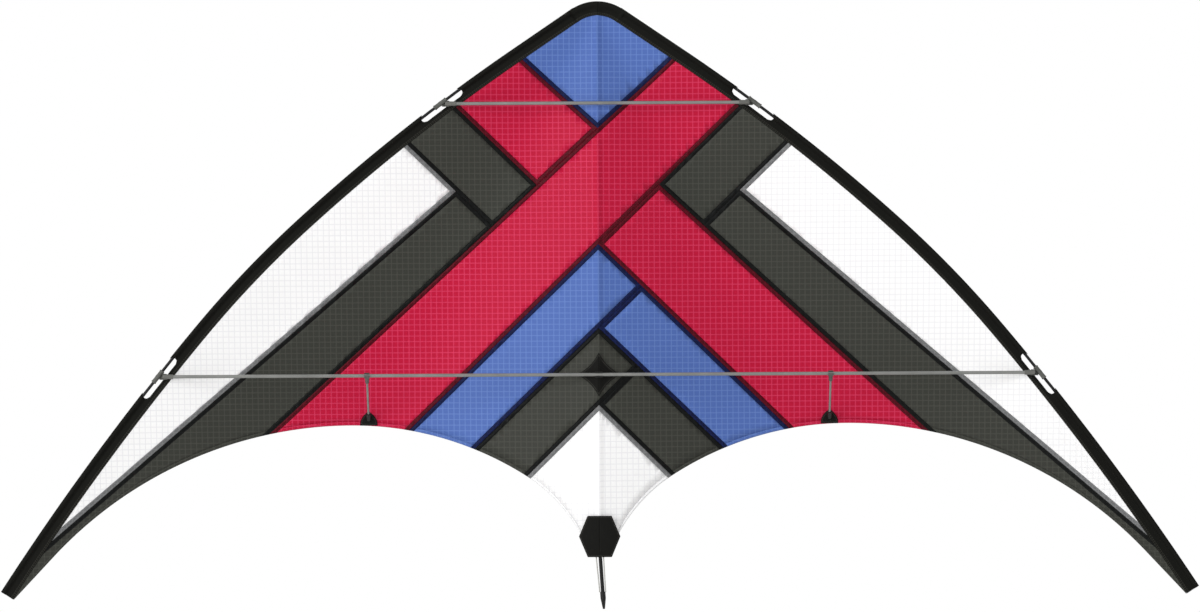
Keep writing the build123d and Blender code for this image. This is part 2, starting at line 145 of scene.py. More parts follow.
def sail_y(x, z):
    """Depth of the sail's middle at (x, z) on the right wing."""
    low, high = 0.0, float(TIP)
    while high - low > 1e-3:
        middle = (low + high) / 2
        low, high = (middle, high) if inset_point(middle, SEAM_INSET)[0] < x else (low, middle)
    below = inset_point(low, SEAM_INSET)[1] - z
    return SAIL_Y + billow(x, below) - ridge(x)


# ---------------------------------------------------------------- mesh helpers
def mesh_object(name, verts, faces, materials, uvs=None, face_mats=None):
    """Object from points in mm; uvs maps a layer name to one pair for each corner, in mm."""
    mesh = bpy.data.meshes.new(name)
    mesh.from_pydata([tuple(c * MM for c in v) for v in verts], [], faces)
    for layer_name, pairs in (uvs or {}).items():
        layer = mesh.uv_layers.new(name=layer_name)
        flat = np.array([c * MM for pair in pairs for c in pair], np.float32)
        layer.data.foreach_set("uv", flat)
    for material in materials:
        mesh.materials.append(material)
    if face_mats is not None:
        mesh.polygons.foreach_set("material_index", face_mats)
    mesh.polygons.foreach_set("use_smooth", [True] * len(mesh.polygons))
    mesh.update()
    obj = bpy.data.objects.new(name, mesh)
    bpy.context.scene.collection.objects.link(obj)
    return obj


def normals_of(verts, faces):
    points = np.array(verts, float)
    out = np.zeros_like(points)
    for f in faces:
        p = points[list(f)]
        n = np.zeros(3)
        for i in range(1, len(f) - 1):
            n += np.cross(p[i] - p[0], p[i + 1] - p[0])
        for i in f:
            out[i] += n
    size = np.linalg.norm(out, axis=1)
    size[size < 1e-12] = 1
    return out / size[:, None]


def thicken(verts, faces, thickness, corner_uvs):
    """Closed slab about a surface, with a rim; corner_uvs is a list of per-face corner tuples."""
    n = normals_of(verts, faces)
    points = np.array(verts, float)
    half = np.broadcast_to(np.asarray(thickness, float) / 2, (len(points),))[:, None]
    count = len(points)
    out = np.vstack([points + n * half, points - n * half])
    new_faces = [tuple(f) for f in faces]
    new_faces += [tuple(i + count for i in reversed(f)) for f in faces]
    new_uvs = list(corner_uvs) + [tuple(reversed(c)) for c in corner_uvs]
    used = {}
    for f, c in zip(faces, corner_uvs):
        for k, a in enumerate(f):
            b = f[(k + 1) % len(f)]
            key = (min(a, b), max(a, b))
            used.setdefault(key, []).append((a, b, c[k], c[(k + 1) % len(f)]))
    for found in used.values():
        if len(found) == 1:
            a, b, ca, cb = found[0]
            new_faces.append((b, a, a + count, b + count))
            new_uvs.append((cb, ca, ca, cb))
    return out.tolist(), new_faces, new_uvs


def face_down(verts, faces):
    """Faces turned, if needed, so that their normals point to the front (-Y) on the whole."""
    n = normals_of(verts, faces)
    if n[:, 1].sum() > 0:
        return [tuple(reversed(f)) for f in faces], True
    return [tuple(f) for f in faces], False


# ---------------------------------------------------------------- materials
def srgb(r, g, b):
    """Linear colour of an 8-bit sRGB one."""
    out = []
    for c in (r, g, b):
        c = c / 255
        out.append(c / 12.92 if c <= 0.04045 else ((c + 0.055) / 1.055) ** 2.4)
    return (*out, 1.0)


class Nodes:
    """A material's node tree, with short ways to add nodes."""

    def __init__(self, name, roughness=0.5, specular=0.5, **sockets):
        self.material = bpy.data.materials.new(name)
        self.material.use_nodes = True
        self.tree = self.material.node_tree
        self.shader = self.tree.nodes["Principled BSDF"]
        self.shader.inputs["Roughness"].default_value = roughness
        self.shader.inputs["Specular IOR Level"].default_value = specular
        for key, value in sockets.items():
            self.shader.inputs[key.replace("_", " ")].default_value = value

    def add(self, kind, **settings):
        node = self.tree.nodes.new(kind)
        for key, value in settings.items():
            setattr(node, key, value)
        return node

    def join(self, out, socket):
        self.tree.links.new(out, socket)

    def value(self, target, source):
        if isinstance(source, (int, float, tuple)):
            target.default_value = source
        else:
            self.join(source, target)

    def math(self, operation, a, b=0.0, c=0.0, clamp=False):
        node = self.add("ShaderNodeMath", operation=operation, use_clamp=clamp)
        for socket, source in zip(node.inputs, (a, b, c)):
            self.value(socket, source)
        return node.outputs[0]

    def uv(self, layer):
        split = self.add("ShaderNodeSeparateXYZ")
        self.join(self.add("ShaderNodeUVMap", uv_map=layer).outputs[0], split.inputs[0])
        return split.outputs[0], split.outputs[1]

    def noise(self, vector, scale, detail=2.0):
        node = self.add("ShaderNodeTexNoise")
        node.inputs["Scale"].default_value = scale
        node.inputs["Detail"].default_value = detail
        self.join(vector, node.inputs["Vector"])
        return node.outputs["Fac"]

    def place(self):
        return self.add("ShaderNodeTexCoord").outputs["Object"]

    def uv_vector(self, layer):
        return self.add("ShaderNodeUVMap", uv_map=layer).outputs[0]

    def mix(self, factor, a, b):
        node = self.add("ShaderNodeMix", data_type="RGBA")
        self.value(node.inputs[0], factor)
        self.value(node.inputs[6], a)
        self.value(node.inputs[7], b)
        return node.outputs[2]

    def fade(self, away, width, soft):
        """Falls from 1 to 0 where away passes half the width, over soft times the width."""
        high, low = width / 2 * (1 + soft), width / 2 * (1 - soft)
        node = self.add("ShaderNodeMapRange", interpolation_type="SMOOTHSTEP")
        self.join(away, node.inputs["Value"])
        for key, v in (("From Min", low), ("From Max", high), ("To Min", 1.0), ("To Max", 0.0)):
            node.inputs[key].default_value = v
        return node.outputs["Result"]

    def band(self, value, pitch, width, soft=0.3):
        """1 on lines of that width at every multiple of pitch."""
        return self.fade(self.math("PINGPONG", value, pitch / 2), width, soft)

    def near(self, value, at, width, soft=0.3):
        """1 on one line of that width where value equals at."""
        return self.fade(self.math("ABSOLUTE", self.math("SUBTRACT", value, at)), width, soft)

    def rows(self, value, places, width):
        """1 on lines of that width at several places."""
        found = self.near(value, places[0], width)
        for at in places[1:]:
            found = self.math("MAXIMUM", found, self.near(value, at, width))
        return found

    def finish(self, colour=None, height=None, roughness=None, bump=0.3, depth=0.0003):
        if colour is not None:
            self.value(self.shader.inputs["Base Color"], colour)
        if roughness is not None:
            self.value(self.shader.inputs["Roughness"], roughness)
        if height is not None:
            node = self.add("ShaderNodeBump")
            node.inputs["Strength"].default_value = bump
            node.inputs["Distance"].default_value = depth
            self.join(height, node.inputs["Height"])
            self.join(node.outputs[0], self.shader.inputs["Normal"])
        return self.material


GRID = 0.0075  # pitch of the ripstop's reinforcing threads
GRID_LINE = 0.0014
STITCH = 0.0032  # pitch of the stitches
THREAD = 0.0007
PLAIN_WEAVE = 0.25  # relief of the plain weave, against 1 for the grid of heavier threads


def ripstop(name, ground, line, stitched=(), thread=None):
    """Ripstop cloth: a fine plain weave with a square grid of heavier threads."""
    m = Nodes(name, roughness=0.55, specular=0.12, Sheen_Weight=0.02, Sheen_Roughness=0.4)
    x, z = m.uv("cloth")
    across, along = m.band(x, GRID, GRID_LINE), m.band(z, GRID, GRID_LINE)
    grid = m.math("MAXIMUM", across, along)
    crossings = m.math("MULTIPLY", across, along)
    fine = m.math("MULTIPLY", m.band(x, 0.0009, 0.00045, 0.8), m.band(z, 0.0009, 0.00045, 0.8))
    patchy = m.noise(m.uv_vector("cloth"), 24.0, 3.0)
    strength = m.math("MULTIPLY_ADD", patchy, 0.5, 0.5, clamp=True)
    factor = m.math("ADD", m.math("MULTIPLY", grid, strength), m.math("MULTIPLY", crossings, 0.25))
    colour = m.mix(m.math("MINIMUM", factor, 1.0), ground, line)
    shade = m.math("MULTIPLY_ADD", m.noise(m.uv_vector("cloth"), 6.0, 2.0), 0.10, 0.95)
    tone = m.add("ShaderNodeVectorMath", operation="SCALE")
    m.join(colour, tone.inputs[0])
    m.join(shade, tone.inputs["Scale"])
    colour = tone.outputs[0]
    height = m.math("ADD", m.math("MULTIPLY", fine, PLAIN_WEAVE), grid)
    if stitched:
        s, t = m.uv("seam")
        lines = m.rows(t, stitched, THREAD * 1.3)
        stitch = m.math("MULTIPLY", lines, m.band(s, STITCH, STITCH * 0.72, 0.2))
        colour = m.mix(stitch, colour, thread)
        height = m.math("ADD", height, m.math("MULTIPLY", stitch, 2.0))
    rough = m.math("MULTIPLY_ADD", patchy, 0.12, 0.46)
    return m.finish(colour, height, rough, bump=0.35, depth=0.00025)


def webbing(name, dark, light, rows=(), thread=None, layer="band", rib=0.0012):
    """Heavy woven tape: ribs along and across, with rows of stitching."""
    m = Nodes(name, roughness=0.7, specular=0.1)
    s, t = m.uv(layer)
    twill = m.math("ADD", s, t)
    ribs = m.band(twill, rib, rib * 0.5, 0.9)
    cross = m.band(m.math("SUBTRACT", s, t), rib, rib * 0.5, 0.9)
    weave = m.math("MULTIPLY_ADD", ribs, 0.6, m.math("MULTIPLY", cross, 0.4))
    patchy = m.noise(m.uv_vector(layer), 35.0, 4.0)
    factor = m.math("MULTIPLY", weave, m.math("MULTIPLY_ADD", patchy, 0.8, 0.2))
    colour = m.mix(factor, dark, light)
    height = weave
    if rows:
        lines = m.rows(t, rows, THREAD * 1.6)
        stitch = m.math("MULTIPLY", lines, m.band(s, STITCH, STITCH * 0.7, 0.2))
        colour = m.mix(stitch, colour, thread)
        height = m.math("ADD", height, m.math("MULTIPLY", stitch, 2.0))
    rough = m.math("MULTIPLY_ADD", patchy, 0.2, 0.58)
    return m.finish(colour, height, rough, bump=0.5, depth=0.0003)


def solid(name, base, worn, roughness, specular, scale, bump, grain=0.5):
    """Moulded or pultruded plastic: base colour with worn patches and a fine grain."""
    m = Nodes(name, roughness=roughness, specular=specular)
    where = m.place()
    broad = m.noise(where, scale, 4.0)
    fine = m.noise(where, scale * 9, 3.0)
    factor = m.math("MULTIPLY_ADD", broad, 1.6, -0.45, clamp=True)
    colour = m.mix(factor, base, worn)
    rough = m.math("MULTIPLY_ADD", fine, grain * 0.3, roughness - grain * 0.15)
    return m.finish(colour, fine, rough, bump=bump, depth=0.0001)


PALETTE = {  # ground, grid line, seam ground, seam line
    "blue": (srgb(80, 108, 177), srgb(101, 129, 193), srgb(8, 17, 54), srgb(20, 32, 80)),
    "red": (srgb(186, 17, 56), srgb(209, 54, 91), srgb(72, 2, 14), srgb(98, 10, 30)),
    "grey": (srgb(57, 58, 53), srgb(71, 72, 66), srgb(6, 8, 8), srgb(18, 20, 19)),
    "white": (srgb(254, 254, 254), srgb(240, 240, 242), srgb(108, 109, 110), srgb(128, 129, 130)),
}
CLOTHS, SEAMS, HEMS = {}, {}, {}
for key, (ground, line, seam_ground, seam_line) in PALETTE.items():
    CLOTHS[key] = ripstop(f"ripstop_{key}", ground, line)
    SEAMS[key] = ripstop(f"seam_{key}", seam_ground, seam_line, (0.0012, 0.0043), seam_line)
    HEMS[key] = ripstop(f"hem_{key}", ground, line, (0.0008, 0.0042), line)
BLACK_WEB = webbing(
    "edge_webbing", srgb(12, 12, 9), srgb(30, 30, 26), (0.0128, 0.0148), srgb(48, 48, 43)
)
PATCH_WEB = webbing(
    "patch_webbing", srgb(14, 14, 13), srgb(32, 32, 29), (0.0016,), srgb(50, 50, 46), "rim"
)
POCKET_WEB = webbing(
    "pocket_webbing", srgb(24, 24, 22), srgb(46, 46, 43), (0.0012,), srgb(66, 66, 60), "band", 0.0009
)
CARBON = solid("pultruded_carbon", srgb(14, 14, 15), srgb(28, 28, 30), 0.4, 0.25, 60, 0.1, 0.4)
GREY_ROD = solid("grey_rod", srgb(118, 119, 116), srgb(140, 141, 138), 0.34, 0.5, 40, 0.08, 0.4)
MOULDED_GREY = solid("moulded_grey", srgb(78, 79, 75), srgb(98, 99, 94), 0.5, 0.35, 120, 0.2)
MOULDED_BLACK = solid("moulded_black", srgb(14, 14, 14), srgb(28, 28, 27), 0.45, 0.3, 120, 0.2)
VINYL = solid("vinyl", srgb(96, 96, 92), srgb(116, 116, 111), 0.42, 0.35, 90, 0.15)
CORD = webbing("braided_cord", srgb(176, 176, 171), srgb(214, 214, 209), layer="band", rib=0.0007)


# ---------------------------------------------------------------- sail
# x of the first columns, which lie close together where the cloth bends
NEAR_SPINE = (0, 1, 2, 3, 4, 5, 6, 7, 8.5, 10, 12, 15, 19, 24, 30, 37, 45, 54)
COLUMNS_BEYOND = 168  # evenly spaced from the last of those to the wing tip
GRID_ROWS = 40
STRAIGHT_TUCK_X = 8.0  # nearer the spine than this, the tucked edge keeps its column's x


def sail_grid():
    """Middle surface of the right half: columns of points from the sleeve to the trailing edge."""
    cos_a, tan_a = math.cos(math.radians(EDGE_ANGLE)), math.tan(math.radians(EDGE_ANGLE))
    stations = [x / cos_a + SEAM_INSET * tan_a for x in NEAR_SPINE]
    first, count = stations[-1], COLUMNS_BEYOND
    stations += [first + (TIP - 1 - first) * (k + 1) / count for k in range(count)]
    grid = []
    for s in stations:
        x, top = inset_point(s, SEAM_INSET)
        x = max(x, 0.0)
        tuck_x, tuck_z = inset_point(s, TUCK_INSET)
        height = top - trailing_z(x)
        hem = min(HEM, 0.3 * height)
        column = [(x if x < STRAIGHT_TUCK_X else tuck_x, SAIL_Y - ridge(x), tuck_z)]
        for row in range(GRID_ROWS):
            below = (height - hem) * row / (GRID_ROWS - 1)
            column.append((x, SAIL_Y + billow(x, below) - ridge(x), top - below))
        column.append((x, SAIL_Y + billow(x, height) - ridge(x), top - height))
        grid.append(column)
    return grid


def line_plane(kind, seam, sign, shift=0.0):
    """Point and normal of a seam's plane, moved by shift towards its normal's side, below it."""
    angle = math.radians(SEAM_ANGLE[seam])
    rise = math.sin(angle) if kind == "up" else -math.sin(angle)
    normal = Vector((sign * rise, 0, -math.cos(angle)))
    return Vector((0, 0, SEAM_Z[seam])) + normal * shift, normal


GRID_POINTS = sail_grid()
IN_CLOTH, IN_SEAM, IN_HEM = range(3)  # a panel's regions, in the order of its materials
NO_SEAM = 50.0  # distance to a seam that is given where there is none


def flat_size(points):
    """Sides of the smallest rectangle round flat points, width first."""
    p = np.array(points)
    best = None
    for degrees in range(0, 90, 2):
        a = math.radians(degrees)
        q = p @ np.array([[math.cos(a), -math.sin(a)], [math.sin(a), math.cos(a)]])
        size = q.max(0) - q.min(0)
        if best is None or size.prod() < best.prod():
            best = size
    return sorted(float(v) for v in best)


def sail_panel(side, name, colour, below, above):
    """Cloth panel of half a sail, between seams: it lies below one list and above the other."""
    sign = 1 if side == "right" else -1
    bm = bmesh.new()
    rows = len(GRID_POINTS[0])
    made = [[bm.verts.new((sign * p[0], p[1], p[2])) for p in column] for column in GRID_POINTS]
    for i in range(len(made) - 1):
        for j in range(rows - 1):
            corners = [made[i][j], made[i + 1][j], made[i + 1][j + 1], made[i][j + 1]]
            face = bm.faces.new(corners if sign > 0 else corners[::-1])
            face.material_index = IN_HEM if j == rows - 2 else IN_CLOTH
    bounds = [(k, s, 1) for k, s in below] + [(k, s, -1) for k, s in above]
    cuts = [(*line_plane(k, s, sign), keep) for k, s, keep in bounds]
    if name == "white_tail_panel":
        cuts.append((Vector((0, 0, TAIL_CUT_Z)), Vector((0, 0, -1)), -1))
    for point, normal, keep in cuts:
        everything = bm.verts[:] + bm.edges[:] + bm.faces[:]
        bmesh.ops.bisect_plane(
            bm, geom=everything, dist=1e-5, plane_co=point, plane_no=normal,
            clear_inner=keep > 0, clear_outer=keep < 0,
        )
    for kind, seam, keep in bounds:
        point, normal = line_plane(kind, seam, sign, SEAM_HALF * keep)
        everything = bm.verts[:] + bm.edges[:] + bm.faces[:]
        bmesh.ops.bisect_plane(bm, geom=everything, dist=1e-5, plane_co=point, plane_no=normal)
    loose = [v for v in bm.verts if not v.link_faces]
    bmesh.ops.delete(bm, geom=loose, context="VERTS")
    bm.verts.index_update()
    area = sum(f.calc_area() for f in bm.faces)
    outline = [(v.co.x, v.co.z) for v in bm.verts]
    regions = {IN_CLOTH: [], IN_SEAM: [], IN_HEM: []}
    seams = [(*line_plane(k, s, sign), keep) for k, s, keep in bounds]
    for face in bm.faces:
        centre = face.calc_center_median()
        away = [((centre - p).dot(n) * keep, p, n) for p, n, keep in seams]
        nearest = min(away, key=lambda item: item[0])
        ids = [v.index for v in face.verts]
        if nearest[0] < SEAM_HALF:
            _, p, n = nearest
            along = Vector((-n.z, 0, n.x))
            pairs = [((v.co - p).dot(along), abs((v.co - p).dot(n))) for v in face.verts]
            regions[IN_SEAM].append((ids, pairs))
        elif face.material_index == IN_HEM:
            pairs = [(v.co.x, v.co.z - trailing_z(abs(v.co.x))) for v in face.verts]
            regions[IN_HEM].append((ids, pairs))
        else:
            regions[IN_CLOTH].append((ids, [(0.0, NO_SEAM)] * len(ids)))
    points = [tuple(v.co) for v in bm.verts]
    bm.free()
    verts, faces, mats, cloth_uv, seam_uv = [], [], [], [], []
    for kind, thickness in ((IN_CLOTH, CLOTH_T), (IN_SEAM, SEAM_T), (IN_HEM, CLOTH_T * 2)):
        if not regions[kind]:
            continue
        used = sorted({i for ids, _ in regions[kind] for i in ids})
        renumber = {old: new for new, old in enumerate(used)}
        part_points = [points[i] for i in used]
        part_faces = [tuple(renumber[i] for i in ids) for ids, _ in regions[kind]]
        pairs = [tuple(p) for _, p in regions[kind]]
        part_faces, turned = face_down(part_points, part_faces)
        if turned:
            pairs = [tuple(reversed(p)) for p in pairs]
        out_v, out_f, out_uv = thicken(part_points, part_faces, thickness, pairs)
        start = len(verts)
        verts += out_v
        for f, uv in zip(out_f, out_uv):
            faces.append(tuple(i + start for i in f))
            mats.append(kind)
            seam_uv += list(uv)
            cloth_uv += [(out_v[i][0], out_v[i][2]) for i in f]
    materials = [CLOTHS[colour], SEAMS[colour], HEMS[colour]]
    obj = mesh_object(
        f"{side}_{name}_cloth", verts, faces, materials,
        {"cloth": cloth_uv, "seam": seam_uv}, mats,
    )
    width, length = flat_size(outline)
    return obj


PANELS = {  # name: colour, seams it lies below, seams it lies above, counted outwards
    "right": {
        "blue_nose_panel": ("blue", [], [("up", 1)]),
        "red_main_band": ("red", [("up", 1)], [("up", 2)]),
        "blue_rising_band": ("blue", [("down", 2)], [("up", 3)]),
        "grey_rising_band": ("grey", [("down", 3)], [("up", 4)]),
        "white_tail_panel": ("white", [("down", 4)], []),
        "grey_square": ("grey", [("up", 2)], [("down", 1), ("up", 3)]),
        "red_band": ("red", [("down", 1), ("up", 2)], [("down", 2)]),
        "grey_wing_band": ("grey", [("down", 0), ("up", 3)], [("down", 1)]),
        "white_wing_panel": ("white", [("up", 3)], [("down", 0)]),
        "blue_falling_band": ("blue", [("down", 2), ("up", 3)], [("down", 3)]),
        "grey_falling_band": ("grey", [("down", 3), ("up", 4)], [("down", 4)]),
    },
    "left": {
        "blue_nose_panel": ("blue", [], [("up", 1)]),
        "red_main_band": ("red", [("down", 1)], [("down", 2)]),
        "blue_rising_band": ("blue", [("down", 2)], [("down", 3)]),
        "grey_rising_band": ("grey", [("down", 3)], [("down", 4)]),
        "white_tail_panel": ("white", [("down", 4)], []),
        "red_square": ("red", [("up", 1)], [("up", 2), ("down", 1)]),
        "grey_square": ("grey", [("up", 2)], [("up", 3), ("down", 1)]),
        "grey_wing_band": ("grey", [("down", 0), ("up", 3)], [("down", 1)]),
        "white_wing_panel": ("white", [("up", 3)], [("down", 0)]),
    },
}
CENTRE_PANELS = (
    "blue_nose_panel", "red_main_band", "blue_rising_band", "grey_rising_band", "white_tail_panel"
)


def across_fold(obj):
    """Cloth across the spine: its placement is baked into its mesh, and it is left unattached."""
    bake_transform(obj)


for side, panels in PANELS.items():
    for name, (colour, below, above) in panels.items():
        cloth = sail_panel(side, name, colour, below, above)
        if name in CENTRE_PANELS:
            across_fold(cloth)
        else:
            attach(cloth, f"{side}_wing")
        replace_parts(cloth, f"{side}_{name}")

# ---------------------------------------------------------------- leading-edge sleeves and nose
UPPER_LEVEL, LOWER_LEVEL = 363, 0  # heights of the two spreaders
WINDOW_MIDDLE = (2.5, 5.5)  # centre and half depth of a window's round end, across the band
WINDOW_STRAIGHT = 28.0  # half a window's length, without its round ends
WINDOW_INNER = 8.0  # inner side of a window, from the rod's centre
SLEEVE_FOLD_R = 2.85  # the tape's middle, where it goes round the rod
SLEEVE_TOP = 46.0  # distance along the edge of the first row past the nose
SLEEVE_ROW = 4.0
LAYER_T = 0.5


def sleeve_section():
    """Points (t, y) of the folded tape, from its front inner edge round the rod to the back."""
    points = [(16 - k * 2.0, 1.9) for k in range(5)]
    points += [(7.0, 1.9), (6.0, 1.86), (5.2, 1.66), (4.5, 1.25), (3.9, 0.6), (3.35, -0.25)]
    for step in range(14):
        a = math.radians(-20 - 250 * step / 13)
        points.append((SLEEVE_FOLD_R * math.cos(a), SLEEVE_FOLD_R * math.sin(a)))
    points += [(2.0, 2.87), (4.0, 2.9), (6.0, 2.9)]
    points += [(8 + k * 2.0, 2.9) for k in range(5)]
    return points


def round_end(t):
    """How far a window's round end reaches past its straight part, at t across the band."""
    middle, half = WINDOW_MIDDLE
    return math.sqrt(max(0.0, half**2 - (t - middle) ** 2)) if t < WINDOW_INNER else 0.0


def station_order(station):
    kind, s, way = station
    return s + way * (WINDOW_STRAIGHT + 2) if kind == "end" else s


def sleeve_stations():
    """(kind, distance along the edge, way) of each row; way is a window end's direction."""
    windows = [edge_distance(UPPER_LEVEL), edge_distance(LOWER_LEVEL)]
    out, s = [("start", 0.0, 0)], SLEEVE_TOP
    while s < TIP - 0.5:
        if all(abs(s - w) > 35 for w in windows):
            out.append(("plain", s, 0))
        s += SLEEVE_ROW
    out.append(("plain", float(TIP), 0))
    for w in windows:
        out.append(("end", w, -1))
        out += [("inside", w + ds, 0) for ds in range(-24, 25, 4)]
        out.append(("end", w, 1))
    return sorted(out, key=station_order)


SLEEVE_START = (31.0, 0.4)  # where the nose cap takes over: x at the rod, and its slant


def station_distance(station, t):
    """Distance along the edge of a row, at t across the tape."""
    kind, s, way = station
    a = math.radians(EDGE_ANGLE)
    if kind == "start":
        x = SLEEVE_START[0] - SLEEVE_START[1] * t
        return (x + t * math.sin(a)) / math.cos(a)
    if kind == "end":
        return s + way * (WINDOW_STRAIGHT + round_end(t))
    return s


def sleeve(side):
    sign = 1 if side == "right" else -1
    section, stations = sleeve_section(), sleeve_stations()
    verts, faces, pairs = [], [], []
    for station in stations:
        for t, y in section:
            s = station_distance(station, t)
            x, z, a = edge_at(min(s, TIP))
            verts.append((sign * (x - t * math.sin(a)), y, z - t * math.cos(a)))
    n = len(section)
    for i in range(len(stations) - 1):
        first, second = stations[i], stations[i + 1]
        in_window = "inside" in (first[0], second[0])
        for j in range(n - 1):
            if in_window and min(section[j][0], section[j + 1][0]) < WINDOW_INNER:
                continue
            ids = (i * n + j, (i + 1) * n + j, (i + 1) * n + j + 1, i * n + j + 1)
            where = [(first, j), (second, j), (second, j + 1), (first, j + 1)]
            uv = [(station_distance(st, section[k][0]), abs(section[k][0])) for st, k in where]
            faces.append(ids if sign > 0 else tuple(reversed(ids)))
            pairs.append(tuple(uv) if sign > 0 else tuple(reversed(uv)))
    used = sorted({i for f in faces for i in f})
    renumber = {old: new for new, old in enumerate(used)}
    verts = [verts[i] for i in used]
    faces = [tuple(renumber[i] for i in f) for f in faces]
    out_v, out_f, out_uv = thicken(verts, faces, LAYER_T, pairs)
    obj = mesh_object(
        f"{side}_edge_sleeve", out_v, out_f, [BLACK_WEB],
        {"band": [pair for uv in out_uv for pair in uv]},
    )
    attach(obj, f"{side}_wing")
    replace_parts(obj, f"{side}_leading_edge_sleeve")


NOSE_STEPS = 16
NOSE_OVERLAP = 5.0  # how far the cap reaches along the sleeve, past the rounding


def nose_half(side):
    """Half of the nose cap: heavy tape over the ends of both sleeves and of the spine."""
    sign = 1 if side == "right" else -1
    turn = math.radians(EDGE_ANGLE)
    stations = [(turn * k / NOSE_STEPS, 0.0) for k in range(NOSE_STEPS + 1)]
    stations.append((turn, NOSE_OVERLAP))
    loop_t = [16.2 - k * 1.57 for k in range(13)]  # across the tape, from the rod's centre
    verts, faces, uvs = [], [], []
    for angle, extra in stations:
        cx = NOSE_R * math.sin(angle) + extra * math.cos(angle)
        cz = NOSE_CENTRE_Z + NOSE_R * math.cos(angle) - extra * math.sin(angle)
        for back in (0, 1):
            for t in loop_t if back == 0 else reversed(loop_t):
                x, z = cx - t * math.sin(angle), cz - t * math.cos(angle)
                rim = min(1.0, (16.3 - t) / 1.2) * min(1.0, (t + 3.05) / 1.0)
                rim = math.sqrt(max(rim, 0.02))
                bulge = max(0.0, 1 - (max(t, 0) / 7.5) ** 2)
                crown = max(0.0, 1 - (x / 9) ** 2) ** 2
                front = 1.35 - 4.6 * bulge - 1.9 * crown * (1 - bulge)
                rear = 3.35 + 4.3 * crown * min(1.0, (17 - t) / 6)
                middle = (front + rear) / 2
                y = middle + (rear - middle) * rim if back else middle + (front - middle) * rim
                verts.append((sign * x, y, z))
    n, last = 2 * len(loop_t), len(stations) - 1
    for i in range(last):
        for j in range(n):
            k = (j + 1) % n
            ids = (i * n + j, (i + 1) * n + j, (i + 1) * n + k, i * n + k)
            faces.append(ids if sign > 0 else tuple(reversed(ids)))
    for i, flip in ((0, True), (last, False)):
        cap = tuple(i * n + j for j in range(n))
        faces.append(tuple(reversed(cap)) if flip == (sign > 0) else cap)
    for f in faces:
        for i in f:
            row, column = divmod(i, n)
            t = loop_t[column] if column < len(loop_t) else loop_t[n - 1 - column]
            uvs.append((row * 2.16 * sign, abs(t)))
    obj = mesh_object(f"{side}_nose_webbing", verts, faces, [BLACK_WEB], {"band": uvs})
    across_fold(obj)
    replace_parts(obj, "nose_cap")


for side in ("left", "right"):
    sleeve(side)
    nose_half(side)


# ---------------------------------------------------------------- patches sewn to the sail
PATCH_T = 0.9
PATCH_CELL = 1.5  # the patches' mesh


def patch_half(side, name, outline, standoff, body_fold=True, dome=0.0):
    """Part of a patch on one side: a closed outline (x, z) outwards from the spine, filled."""
    sign = 1 if side == "right" else -1
    bm = bmesh.new()
    ring = [bm.verts.new((x, 0, z)) for x, z in outline]
    bm.faces.new(ring)
    low = [min(p[k] for p in outline) for k in (0, 1)]
    high = [max(p[k] for p in outline) for k in (0, 1)]
    for axis, normal in ((0, Vector((1, 0, 0))), (1, Vector((0, 0, 1)))):
        at = low[axis] + PATCH_CELL
        while at < high[axis] - 0.5:
            everything = bm.verts[:] + bm.edges[:] + bm.faces[:]
            point = Vector((at, 0, 0)) if axis == 0 else Vector((0, 0, at))
            bmesh.ops.bisect_plane(
                bm, geom=everything, dist=1e-5, plane_co=point, plane_no=normal
            )
            at += PATCH_CELL
    edges = list(zip(outline, outline[1:] + outline[:1]))

    def rim(x, z):
        """Distance to the outline, but not to the fold line at the spine."""
        best = 1e9
        for (x0, z0), (x1, z1) in edges:
            if body_fold and x0 < 1e-6 and x1 < 1e-6:
                continue
            dx, dz = x1 - x0, z1 - z0
            u = max(0.0, min(1.0, ((x - x0) * dx + (z - z0) * dz) / (dx * dx + dz * dz)))
            best = min(best, math.hypot(x - x0 - u * dx, z - z0 - u * dz))
        return best

    bm.verts.index_update()
    points, depth = [], []
    for v in bm.verts:
        edge = rim(v.co.x, v.co.z)
        depth.append(edge)
        rise = dome * (1 - math.exp(-edge / 3.0)) + 0.25 * (1 - math.exp(-edge / 0.8))
        y = standoff(v.co.x, v.co.z) - rise
        points.append((sign * v.co.x, y, v.co.z))
    faces = [tuple(v.index for v in f.verts) for f in bm.faces]
    bm.free()
    faces, _ = face_down(points, faces)
    pairs = [tuple((points[i][0] + points[i][2], depth[i]) for i in f) for f in faces]
    out_v, out_f, out_uv = thicken(points, faces, PATCH_T, pairs)
    obj = mesh_object(
        f"{side}_{name}", out_v, out_f, [PATCH_WEB],
        {"rim": [pair for uv in out_uv for pair in uv]},
    )
    if body_fold:
        across_fold(obj)
    else:
        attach(obj, f"{side}_wing")
    return obj


def sail_front(gap):
    """Depth of something that lies that far in front of the sail's middle."""
    return lambda x, z: sail_y(max(x, 0.0), z) - gap


STAR_HALF, STAR_WAIST = 29.0, 17.0


def star_outline():
    """Right half of the four-pointed star with hollow sides."""
    tips = [(0, STAR_HALF), (STAR_HALF, 0), (0, -STAR_HALF)]
    pull = STAR_WAIST / STAR_HALF / math.sqrt(2)
    out = []
    for a, b in zip(tips, tips[1:]):
        middle = ((a[0] + b[0]) * pull, (a[1] + b[1]) * pull)
        control = (2 * middle[0] - (a[0] + b[0]) / 2, 2 * middle[1] - (a[1] + b[1]) / 2)
        for k in range(14):
            u = k / 14
            out.append(tuple(
                (1 - u) ** 2 * a[i] + 2 * u * (1 - u) * control[i] + u * u * b[i] for i in (0, 1)
            ))
    out.append(tips[-1])
    return out


